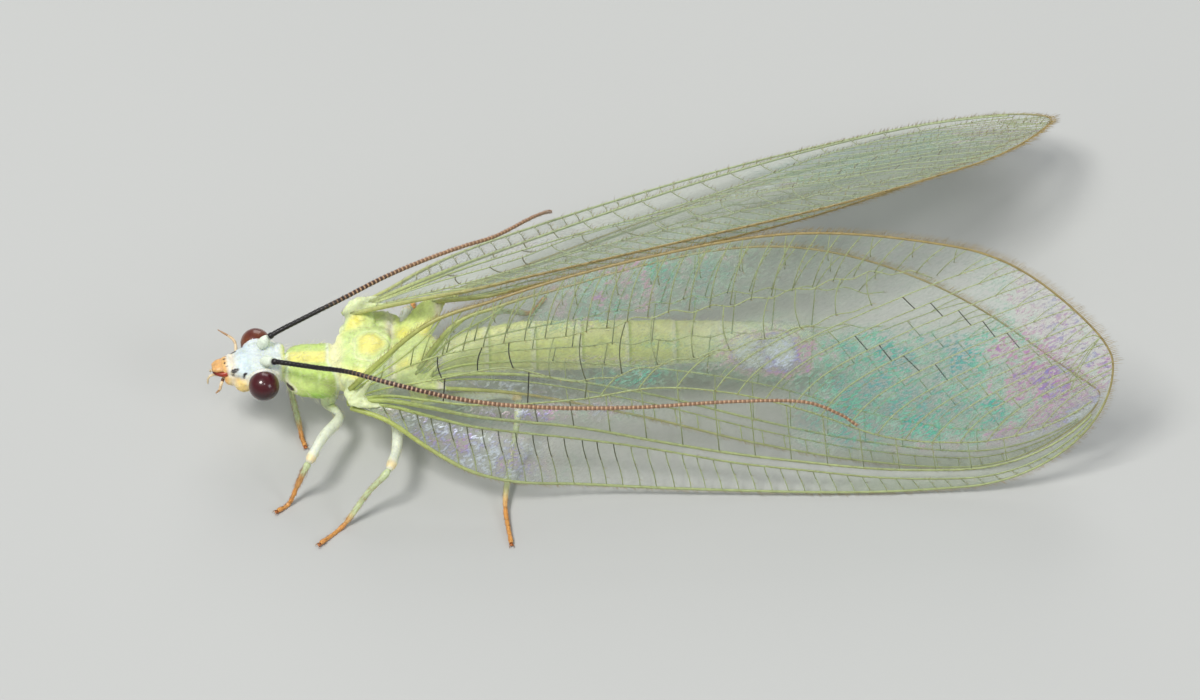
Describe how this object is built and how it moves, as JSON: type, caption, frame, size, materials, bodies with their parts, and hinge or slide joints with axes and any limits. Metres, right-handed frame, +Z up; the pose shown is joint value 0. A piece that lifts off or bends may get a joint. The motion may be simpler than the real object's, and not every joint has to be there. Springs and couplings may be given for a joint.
{
  "type": "green lacewing model",
  "caption": "Life-size museum-style model of a green lacewing at rest, net-veined clear wings held over the body, long feelers laid back.",
  "frame": {"origin": "on the floor, under the middle of the model's box", "axes": "+Z up; +X from head to tail; -Y is the insect's left side"},
  "size_m": [0.0212, 0.0132, 0.0057],
  "materials": {
    "chalk": "satin",
    "lime": "satin",
    "pale_green": "satin",
    "yellow_green": "satin",
    "amber": "satin",
    "eye": "polished",
    "feeler": "matte",
    "leg": "satin",
    "wing": "iridescent"
  },
  "bodies": {
    "root": {"head": "chalk", "eye_left": "eye", "eye_right": "eye", "mouthparts": "amber", "antenna_left": "feeler", "antenna_right": "feeler", "prothorax": "lime", "mesothorax": "pale_green", "metathorax": "yellow_green", "abdomen": "yellow_green", "leg_fore_left": "leg", "leg_middle_left": "leg", "leg_hind_left": "leg", "leg_fore_right": "leg", "leg_middle_right": "leg", "leg_hind_right": "leg", "forewing_left": "wing", "forewing_right": "wing", "hindwing_left": "wing", "hindwing_right": "wing"}
  },
  "joints": []
}
